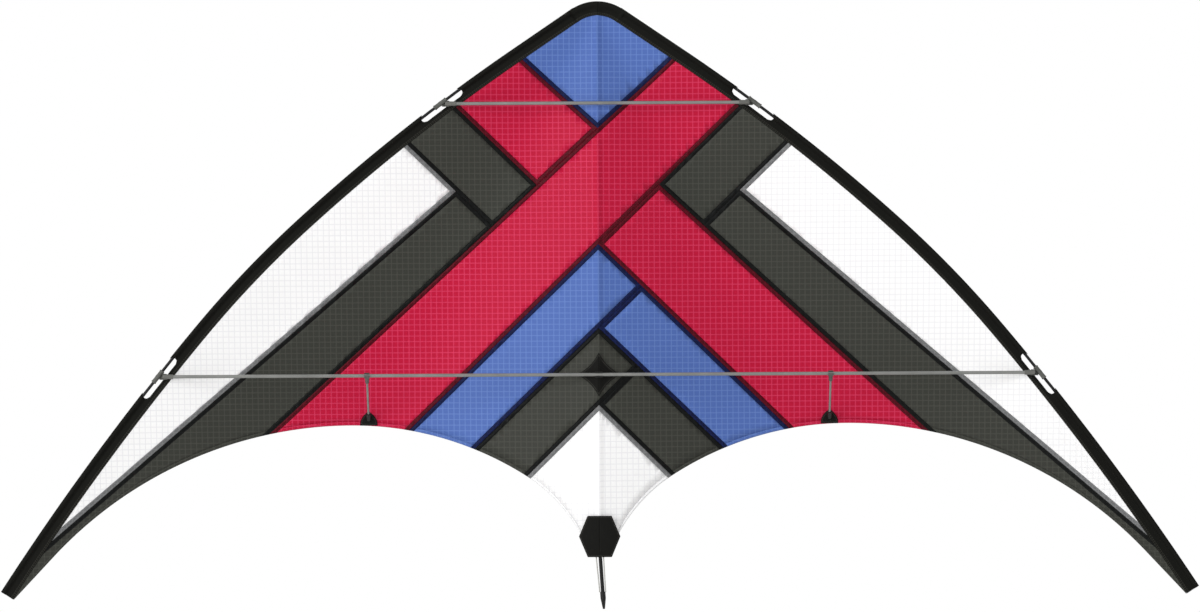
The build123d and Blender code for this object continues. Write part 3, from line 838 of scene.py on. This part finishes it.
TAIL_PATCH_Z = -216.5
WHISKER_X = 310.0
HEXAGON_HALF = 27.5
HEXAGON = [(0, HEXAGON_HALF), (16, HEXAGON_HALF), (HEXAGON_HALF, 0)]
HEXAGON += [(16, -HEXAGON_HALF), (0, -HEXAGON_HALF)]
for side in ("left", "right"):
    star = patch_half(side, "star_patch", star_outline(), sail_front(2.3))
    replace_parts(star, "centre_star_patch")
    corners = [(x, z + TAIL_PATCH_Z) for x, z in HEXAGON]
    tail = patch_half(
        side, "tail_patch_webbing", corners, lambda x, z: -0.6 + 0.2 * x**2 / HEXAGON_HALF, dome=0.3
    )
    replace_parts(tail, "tail_patch")
    foot = trailing_z(WHISKER_X) + 0.5
    dome_outline = [
        (
            WHISKER_X + 11.5 * math.copysign(abs(math.cos(a)) ** 1.5, math.cos(a)),
            foot + 18 * math.sin(a) ** 0.95,
        )
        for a in (math.pi * k / 28 for k in range(29))
    ]
    pocket = patch_half(
        side, "whisker_pocket", dome_outline, sail_front(1.1), body_fold=False, dome=1.2
    )
    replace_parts(pocket, f"{side}_whisker_patch")


# ---------------------------------------------------------------- spine pocket on the back
def spine_pocket(name, bottom, top):
    """Tape that wraps the back of the spine and is sewn to the sail on both sides of it."""
    flange = (6.5, 5.4, 4.4)
    section = [(-x, None) for x in flange]
    section += [
        (3.35 * math.sin(math.radians(a)), SPINE_Y + 3.35 * math.cos(math.radians(a)))
        for a in range(-90, 91, 15)
    ]
    section += [(x, None) for x in reversed(flange)]
    steps = max(2, int((top - bottom) / 6))
    verts, faces, pairs = [], [], []
    n = len(section)
    for i in range(steps + 1):
        z = bottom + (top - bottom) * i / steps
        verts += [(x, sail_y(abs(x), z) + 0.5 if y is None else y, z) for x, y in section]
    for i in range(steps):
        for j in range(n - 1):
            faces.append((i * n + j, i * n + j + 1, (i + 1) * n + j + 1, (i + 1) * n + j))
            rows = ((i, j), (i, j + 1), (i + 1, j + 1), (i + 1, j))
            pairs.append(tuple((r * (top - bottom) / steps, 6.5 - abs(section[k][0])) for r, k in rows))
    out_v, out_f, out_uv = thicken(verts, faces, 0.4, pairs)
    obj = mesh_object(name, out_v, out_f, [POCKET_WEB], {"band": [p for uv in out_uv for p in uv]})
    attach(obj, "spine")
    return obj


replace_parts(spine_pocket("upper_spine_tape", 9.0, 468.0), "upper_spine_pocket")
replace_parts(spine_pocket("lower_spine_tape", -227.0, -9.0), "lower_spine_pocket")

# ---------------------------------------------------------------- small hard pieces with finer shapes
def ring_mesh(rings, closed, verts, faces):
    """Join rings of points of equal length into a skin; closed joins the last to the first."""
    start, n = len(verts), len(rings[0])
    for ring in rings:
        verts += [tuple(p) for p in ring]
    last = len(rings) if closed else len(rings) - 1
    for i in range(last):
        k = (i + 1) % len(rings)
        for j in range(n):
            m = (j + 1) % n
            faces.append(
                (start + i * n + j, start + k * n + j, start + k * n + m, start + i * n + m)
            )
    if not closed:
        faces.append(tuple(start + j for j in reversed(range(n))))
        faces.append(tuple(start + (len(rings) - 1) * n + j for j in range(n)))


def turned(profile, origin, way, verts, faces, closed, segments=28):
    """Revolve (distance, radius) points about a line."""
    way = Vector(way).normalized()
    across = way.cross(Vector((0, 1, 0))).normalized()
    up = across.cross(way)
    rings = []
    for distance, radius in profile:
        centre = Vector(origin) + way * distance
        turns = [2 * math.pi * k / segments for k in range(segments)]
        rings.append([centre + (across * math.cos(a) + up * math.sin(a)) * radius for a in turns])
    ring_mesh(rings, closed, verts, faces)


def outward(obj):
    """Turn every face of a closed mesh outwards."""
    bm = bmesh.new()
    bm.from_mesh(obj.data)
    bmesh.ops.recalc_face_normals(bm, faces=bm.faces[:])
    bm.to_mesh(obj.data)
    bm.free()


SPREADER_Y = -3.5
SOCKET = [(-10, 2.9), (-9.6, 3.4), (-8.6, 3.5), (-8.0, 3.1), (-3.0, 3.05), (0, 3.3), (3.0, 3.05)]
SOCKET += [(8.0, 3.1), (8.6, 3.5), (9.6, 3.4), (10, 2.9), (10, 2.08), (-10, 2.08)]


def connector(side, level, height):
    """Slim moulded socket on the edge rod with a C-shaped cradle for the spreader's cap."""
    sign = 1 if side == "right" else -1
    x, z, a = edge_at(edge_distance(height))
    verts, faces = [], []
    way = (sign * math.cos(a), 0, -math.sin(a))
    turned(SOCKET, (sign * x, 0, z), way, verts, faces, closed=True)
    rings = []
    for from_edge, outer in ((2.2, 3.7), (2.8, 4.15), (11.4, 4.0), (12.2, 3.7)):
        ring = []
        for step in range(17):
            turn = math.radians(-97 + 194 * step / 16)
            ring.append((outer * math.cos(turn), outer * math.sin(turn)))
        for step in range(17):
            turn = math.radians(97 - 194 * step / 16)
            ring.append((3.38 * math.cos(turn), 3.38 * math.sin(turn)))
        rings.append([(sign * (x - from_edge), SPREADER_Y + dy, z + dz) for dy, dz in ring])
    ring_mesh(rings, False, verts, faces)
    obj = mesh_object(f"{side}_{level}_socket", verts, faces, [MOULDED_GREY])
    outward(obj)
    obj.data.set_sharp_from_angle(angle=math.radians(35))
    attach(obj, f"{side}_wing")
    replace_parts(obj, f"{side}_{level}_connector")


for side in ("left", "right"):
    connector(side, "lower", LOWER_LEVEL)
    connector(side, "upper", UPPER_LEVEL)

# ---------------------------------------------------------------- tail's two held cords
CORD_RIBS = 24  # the cord's radius goes in and out this often
nock_low, nock_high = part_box("tail_nock")
nock_top_x = nock_low.x / MM + 3.6
for side, sign in (("left", -1), ("right", 1)):
    top = Vector((sign * 4.9, SPINE_Y - 1.2, TAIL_PATCH_Z - 26.5))
    bottom = Vector((nock_top_x + sign * 3.9, SPINE_Y - 0.6, nock_high.z / MM - 1.0))
    length = (bottom - top).length
    verts, faces = [], []
    profile = [(0, 0.4), (0.4, 0.8)]
    profile += [(length * k / CORD_RIBS, 0.85 if k % 2 else 0.75) for k in range(1, CORD_RIBS)]
    profile += [(length - 0.4, 0.8), (length, 0.4)]
    turned(profile, top, bottom - top, verts, faces, closed=False, segments=14)
    pairs = [(verts[i][2], verts[i][0]) for f in faces for i in f]
    cord = mesh_object(f"{side}_tail_cord", verts, faces, [CORD], {"band": pairs})
    outward(cord)
    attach(cord, "spine")
    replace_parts(cord, "tail_shock_cord")

# ---------------------------------------------------------------- carried-over hard pieces
FINISH = {
    "leading_edge_rod": CARBON, "tip_plug": MOULDED_BLACK,
    "lower_spreader_cap": VINYL, "upper_spreader_cap": VINYL,
    "whisker_rod": GREY_ROD, "whisker_clip": MOULDED_GREY, "whisker_cap": MOULDED_BLACK,
    "lower_spreader": GREY_ROD, "upper_spreader": GREY_ROD, "spreader_ferrule": CARBON,
    "spine_rod": CARBON, "centre_clip": MOULDED_BLACK, "tail_nock": MOULDED_BLACK,
}
for name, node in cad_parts.items():
    key = name.removeprefix("left_").removeprefix("right_")
    if key in FINISH:
        node.data.materials.clear()
        node.data.materials.append(FINISH[key])

# ---------------------------------------------------------------- stage, light and camera
FLOOR_R = 6.4  # the floor stays below the main camera's view
FLOOR_Z = -0.55
floor_mesh = bmesh.new()
bmesh.ops.create_circle(floor_mesh, cap_ends=True, segments=128, radius=FLOOR_R)
floor_data = bpy.data.meshes.new("floor")
floor_mesh.to_mesh(floor_data)
floor_mesh.free()
floor = bpy.data.objects.new("floor", floor_data)
floor.location = (0, 0, FLOOR_Z)
bpy.context.scene.collection.objects.link(floor)
floor_paint = Nodes("floor_paint", roughness=0.9, specular=0.2)
speckle = floor_paint.noise(floor_paint.place(), 40.0, 3.0)
floor.data.materials.append(
    floor_paint.finish(floor_paint.mix(speckle, srgb(232, 232, 231), srgb(238, 238, 237)))
)

world = bpy.data.worlds.new("studio")
bpy.context.scene.world = world
world.use_nodes = True
tree = world.node_tree
background = tree.nodes["Background"]
background.inputs["Color"].default_value = (1, 1, 1, 1)
backdrop = tree.nodes.new("ShaderNodeBackground")
backdrop.inputs["Color"].default_value = (1, 1, 1, 1)
backdrop.inputs["Strength"].default_value = 1.0
background.inputs["Strength"].default_value = 0.68
seen = tree.nodes.new("ShaderNodeLightPath")
choose = tree.nodes.new("ShaderNodeMixShader")
tree.links.new(seen.outputs["Is Camera Ray"], choose.inputs[0])
tree.links.new(background.outputs[0], choose.inputs[1])
tree.links.new(backdrop.outputs[0], choose.inputs[2])
tree.links.new(choose.outputs[0], tree.nodes["World Output"].inputs["Surface"])


def area_light(name, place, target, size, power):
    data = bpy.data.lights.new(name, "AREA")
    data.shape, data.size, data.size_y, data.energy = "RECTANGLE", size[0], size[1], power
    light = bpy.data.objects.new(name, data)
    light.location = place
    light.rotation_euler = (Vector(target) - Vector(place)).to_track_quat("-Z", "Y").to_euler()
    bpy.context.scene.collection.objects.link(light)


area_light("key", (-3.2, -3.4, 1.0), (0, 0, 0.1), (2.0, 2.5), 102)
area_light("fill", (2.2, -5.0, 2.2), (0, 0, 0.1), (3.0, 3.0), 18)
area_light("back", (1.0, 4.5, 2.0), (0, 0, 0.1), (3.0, 2.0), 50)

CAMERA_DISTANCE = 12.0
FRAME_WIDTH = 1.604  # what the picture takes in at the leading edges' plane
camera_data = bpy.data.cameras.new("camera")
camera_data.sensor_width = 36
camera_data.lens = 36 * CAMERA_DISTANCE / FRAME_WIDTH
camera_data.clip_end = 100
camera = bpy.data.objects.new("camera", camera_data)
camera.location = (0.002, -CAMERA_DISTANCE, 0.0916)
camera.rotation_euler = (math.radians(90), math.radians(0.3), 0)
bpy.context.scene.collection.objects.link(camera)
bpy.context.scene.camera = camera
bpy.context.scene.view_settings.view_transform = "Standard"
